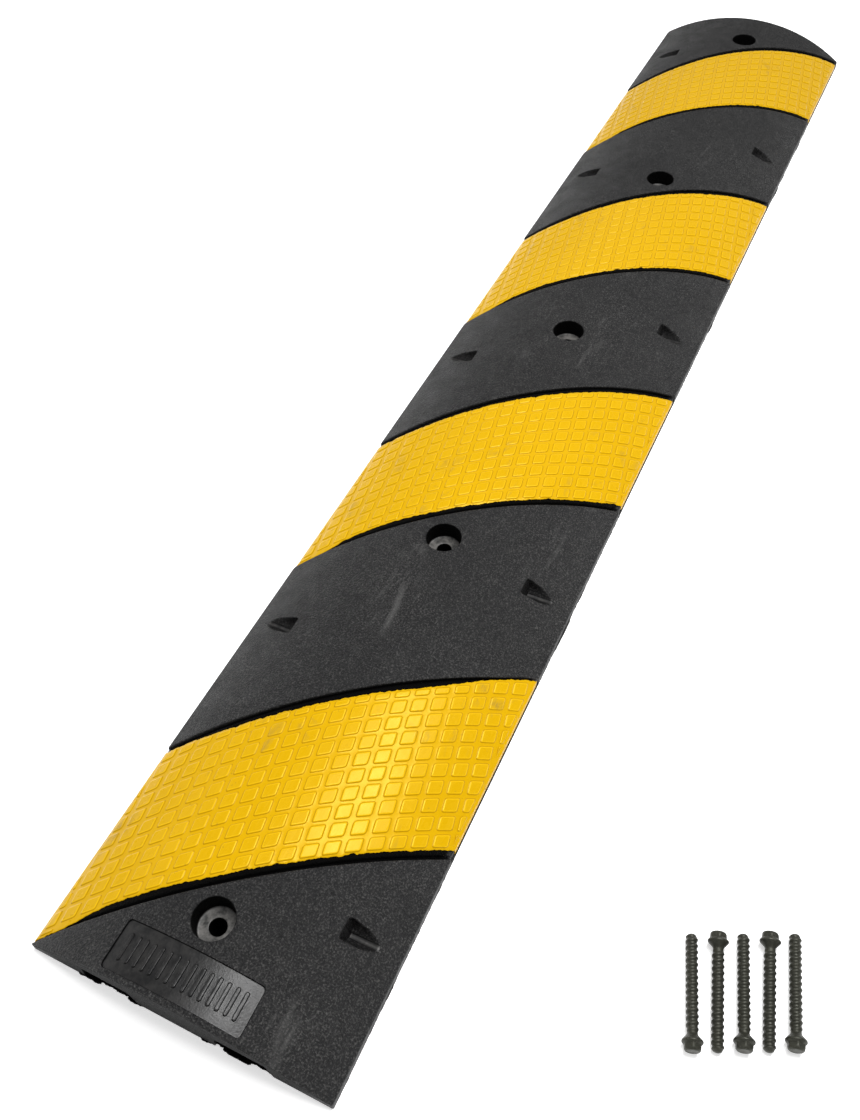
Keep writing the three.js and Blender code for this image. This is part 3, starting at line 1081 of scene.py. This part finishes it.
def black_rubber():
    """Moulded black rubber: pebbled grain, pale scuffs, and dust that sits in the grain; painted
    shade, near black, in the grooves and on steep walls; and patches painted paler, among them a
    painted highlight down each pocket's trough.
    """
    paint = Paint("moulded_black_rubber")
    painted_shade = paint.attribute("painted_shade")
    lightened = paint.attribute("lightened")
    grain = paint.noise(560, 3, 0.7)
    coarse = paint.noise(120, 3, 0.65)
    pebbles = paint.cells(560)
    patches = paint.noise(7, 4, 0.6)
    streaks = paint.noise(26, 6, 0.72, paint.stretched((0.35, 1.6, 1), 32), 0.6)
    scuff = paint.times(paint.ranged(streaks, 0.56, 0.72), paint.ranged(patches, 0.5, 0.62))
    dust = paint.math("ADD", paint.ranged(grain, 0.5, 0.7), paint.ranged(coarse, 0.5, 0.7, 0, 0.12))
    dust = paint.times(dust, paint.ranged(patches, 0.3, 0.7, 0.5, 1))
    calm = paint.ranged(lightened, 0.02, 0.1, 1, 0.08)
    dust = paint.times(dust, calm)
    base = paint.mixed(patches, (0.0025, 0.0025, 0.003, 1), (0.004, 0.004, 0.0045, 1))
    base = paint.mixed(dust, base, (0.088, 0.086, 0.083, 1))
    base = paint.mixed(paint.times(scuff, 0.5), base, (0.12, 0.118, 0.115, 1))
    mottle = paint.ranged(coarse, 0.38, 0.62)
    # Painted paler where marked: the counterbore floors, the plate, and the painted highlight streak
    # down each pocket's trough.
    lightened_tone = paint.mixed(mottle, (0.03, 0.03, 0.029, 1), (0.13, 0.125, 0.118, 1))
    base = paint.mixed(lightened, base, lightened_tone)
    # Painted shade: the grooves and steep walls are painted near black, and the specular tint below
    # darkens their reflection as well.
    base = paint.mixed(painted_shade, base, (0.0012, 0.0012, 0.0012, 1))
    roughness = paint.ranged(paint.noise(40, 3), 0.3, 0.7, 0.42, 0.56)
    roughness = paint.math("SUBTRACT", roughness, paint.ranged(lightened, 0.02, 0.12, 0, 0.2))
    roughness = paint.math("MAXIMUM", roughness, paint.ranged(painted_shade, 0, 1, 0.3, 0.75))
    tint = paint.mixed(painted_shade, (1, 1, 1, 1), (0.12, 0.12, 0.12, 1))
    paint.feed(paint.shader.inputs["Specular Tint"], tint)
    relief = [(paint.noise(14, 3), 1.0, 0.2), (paint.times(pebbles, calm), 1.0, 0.8)]
    paint.bump(relief + [(paint.times(grain, calm), 1.3, 1)])
    return paint.surface(base, roughness, Specular_IOR_Level=0.3)


def yellow_rubber():
    """Yellow rubber: a satin face with brown smudges and fine scratches on the studs, painted shade
    with some dirt at their feet, and a painted highlight along their upper edges.
    """
    paint = Paint("moulded_yellow_rubber")
    raised = paint.attribute("raised")
    tops = paint.ranged(raised, 0.9, 1)
    patches = paint.noise(9, 4, 0.6)
    smear = paint.noise(21, 5, 0.65, paint.stretched((0.8, 1.5, 1), 20), 0.5)
    scratches = paint.noise(60, 4, 0.7, paint.stretched((0.35, 16, 4), 24))
    broken = paint.ranged(scratches, 0.42, 0.6, 0.25, 1)
    smudge = paint.times(paint.ranged(smear, 0.595, 0.715), broken)
    on_studs = paint.times(smudge, paint.ranged(raised, 0.5, 1, 0.12, 1))
    base = paint.mixed(patches, (0.585, 0.33, 0.0003, 1), (0.65, 0.375, 0.0006, 1))
    # Painted shade, with some dirt: the foot of each stud's slope is painted dark brown.
    foot = paint.times(paint.ranged(raised, 0.02, 0.2), paint.ranged(raised, 0.4, 0.75, 0.75, 0))
    base = paint.mixed(foot, base, (0.34, 0.16, 0.0006, 1))
    # Painted highlight: a paler line along the upper edge of each stud's slope.
    painted_edge_highlight = paint.times(paint.ranged(raised, 0.75, 0.92), paint.ranged(raised, 0.95, 1, 0.5, 0))
    base = paint.mixed(painted_edge_highlight, base, (0.85, 0.55, 0.01, 1))
    base = paint.mixed(paint.times(on_studs, 0.8), base, (0.25, 0.16, 0.045, 1))
    hatch = paint.times(tops, paint.ranged(scratches, 0.5, 0.68, 0, 0.35))
    base = paint.mixed(hatch, base, (0.68, 0.42, 0.015, 1))
    specks = paint.ranged(paint.noise(240, 2), 0.7, 0.76)
    base = paint.mixed(paint.times(specks, 0.35), base, (0.25, 0.15, 0.02, 1))
    roughness = paint.ranged(paint.noise(70, 4, 0.6), 0.3, 0.7, 0.26, 0.36)
    roughness = paint.math("SUBTRACT", roughness, paint.times(tops, 0.03))
    relief = [(paint.noise(45, 3), 0.5, 0.2), (paint.noise(520, 3, 0.6), 0.1, 0.25)]
    paint.bump(relief + [(scratches, 0.08, 0.3)])
    paint.shader.inputs["Specular Tint"].default_value = (1, 0.86, 0.22, 1)
    return paint.surface(base, roughness, Specular_IOR_Level=0.34)


def coated_steel():
    """Zinc coated steel, dulled to an olive grey, lighter in scuffed patches."""
    paint = Paint("coated_screw_steel")
    patches = paint.noise(180, 4, 0.65)
    lightened = paint.ranged(paint.noise(420, 3, 0.6), 0.55, 0.7)
    base = paint.mixed(patches, (0.018, 0.019, 0.014, 1), (0.05, 0.05, 0.037, 1))
    base = paint.mixed(paint.times(lightened, 0.35), base, (0.11, 0.108, 0.088, 1))
    roughness = paint.ranged(patches, 0.3, 0.7, 0.38, 0.6)
    paint.bump([(paint.noise(900, 3, 0.6), 0.05, 0.5)])
    return paint.surface(base, roughness, Metallic=0.55)


# ---- set, light and camera ----

CAMERA_PLACE = (-1.0324567, -0.1650637, 0.9422050)
CAMERA_TURN = (38.44063, 1.91408, -64.36150)
CAMERA_LENS = 34.06757
CAMERA_SHIFT = 0.0011
FLOOR_REACH = 30
FLOOR_Z = -0.0004


def add_camera():
    data = bpy.data.cameras.new("camera")
    data.sensor_width = 36
    data.lens = CAMERA_LENS
    data.shift_x = CAMERA_SHIFT
    camera = bpy.data.objects.new("camera", data)
    camera.location = CAMERA_PLACE
    camera.rotation_euler = [math.radians(angle) for angle in CAMERA_TURN]
    bpy.context.scene.collection.objects.link(camera)
    bpy.context.scene.camera = camera


def add_lamp(name, place, target, size, power):
    data = bpy.data.lights.new(name, "AREA")
    data.shape = "RECTANGLE"
    data.size, data.size_y = size
    data.energy = power
    lamp = bpy.data.objects.new(name, data)
    lamp.location = place
    lamp.rotation_euler = (Vector(target) - Vector(place)).to_track_quat("-Z", "Y").to_euler()
    bpy.context.scene.collection.objects.link(lamp)


def add_world(strength):
    world = bpy.data.worlds.new("studio")
    world.use_nodes = True
    background = world.node_tree.nodes["Background"]
    background.inputs["Color"].default_value = (1, 1, 1, 1)
    background.inputs["Strength"].default_value = strength
    bpy.context.scene.world = world


def add_floor():
    """A pale floor that glows a little, so that shadows stay faint, but not under the bump, where it
    is painted near black: painted shade seen through the holes and the channel mouths.
    """
    paint = Paint("pale_floor")
    off_axis = paint.math("ABSOLUTE", paint.math("SUBTRACT", paint.along("Y"), AXIS_Y * MM))
    beyond_side = paint.math("GREATER_THAN", off_axis, (HALF_WIDTH - 4) * MM)
    off_middle = paint.math("ABSOLUTE", paint.along("X"))
    beyond_end = paint.math("GREATER_THAN", off_middle, (HALF_LENGTH - 4) * MM)
    clear = paint.math("MAXIMUM", beyond_side, beyond_end)
    # Painted shade: under the bump the floor is near black and does not glow.
    shaded_floor_tone = paint.mixed(clear, (0.01, 0.01, 0.01, 1), (0.97, 0.97, 0.97, 1))
    glow = paint.mixed(clear, (0, 0, 0, 1), (0.45, 0.45, 0.45, 1))
    paint.feed(paint.shader.inputs["Emission Color"], glow)
    material = paint.surface(shaded_floor_tone, 0.9, Specular_IOR_Level=0.1, Emission_Strength=1)
    mesh = bpy.data.meshes.new("floor")
    turns = ((-1, -1), (1, -1), (1, 1), (-1, 1))
    corners = [(x * FLOOR_REACH, y * FLOOR_REACH, FLOOR_Z) for x, y in turns]
    mesh.from_pydata(corners, [], [(0, 1, 2, 3)])
    mesh.materials.append(material)
    floor = bpy.data.objects.new("floor", mesh)
    bpy.context.scene.collection.objects.link(floor)


bpy.context.scene.view_settings.view_transform = "Standard"
add_camera()
add_world(0.4)
add_lamp("overhead", (0.25, -0.3, 2.6), (-0.2, 0.1, 0), (0.95, 0.95), 61)
add_lamp("near_end", (-0.5, 0.04, 2.6), (-0.8, 0.15, 0), (0.45, 0.35), 17)
add_lamp("front", (-2.4, -0.9, 0.8), (-0.4, 0.16, 0.03), (1.0, 0.5), 2.5)
add_lamp("side", (-0.9, 2.4, 1.5), (-0.3, 0.2, 0), (2.4, 0.8), 6)
add_floor()

rubber = black_rubber()
yellow = yellow_rubber()
steel = coated_steel()

body = rubber_body(rubber)
mark_body(body)
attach(body, "bump")
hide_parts("rubber_body")

for stripe in STRIPES:
    skin = yellow_skin(stripe, yellow)
    mark_raised(skin)
    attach(skin, "bump")
    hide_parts(f"yellow_stripe_{stripe.index + 1}")

for number in range(1, 6):
    screw = anchor_screw(number, steel)
    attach(screw, f"screw_{number}")
    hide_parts(f"anchor_screw_{number}")
